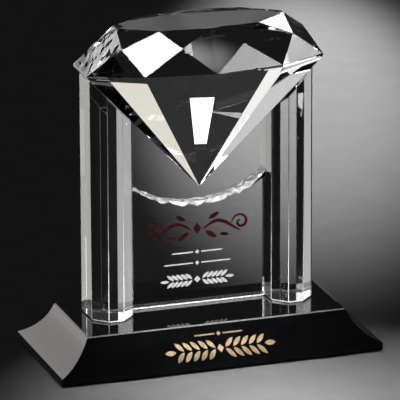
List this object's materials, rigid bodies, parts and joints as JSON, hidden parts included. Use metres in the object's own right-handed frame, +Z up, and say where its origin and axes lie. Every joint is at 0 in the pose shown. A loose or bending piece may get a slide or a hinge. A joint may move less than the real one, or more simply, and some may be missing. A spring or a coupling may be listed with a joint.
{
  "type": "crystal award",
  "caption": "Standing crystal award: an oval brilliant-cut crystal on two bevelled pillars with a hollow-topped panel between them, on a black coved base.",
  "frame": {"origin": "centre of the footprint, on the surface that the award stands on", "axes": "+X along the base to the right as seen from the front, +Y from the decorated front towards the flat back, +Z up"},
  "size_m": [0.232, 0.106, 0.2352],
  "materials": {
    "black_crystal": "gloss",
    "clear_crystal": "gloss",
    "bond": "gloss",
    "felt": "matte",
    "red_paint": "satin",
    "white_frost": "matte",
    "gold_paint": "satin"
  },
  "bodies": {
    "root": {"base": "black_crystal", "base_felt": "felt", "left_pillar": "clear_crystal", "right_pillar": "clear_crystal", "center_panel": "clear_crystal", "diamond": "clear_crystal", "left_pillar_bond": "bond", "right_pillar_bond": "bond", "panel_base_bond": "bond", "panel_left_bond": "bond", "panel_right_bond": "bond", "diamond_left_bond": "bond", "diamond_right_bond": "bond", "red_scroll_fill": "red_paint", "frosted_fill": "white_frost", "gilded_fill": "gold_paint"}
  },
  "joints": []
}
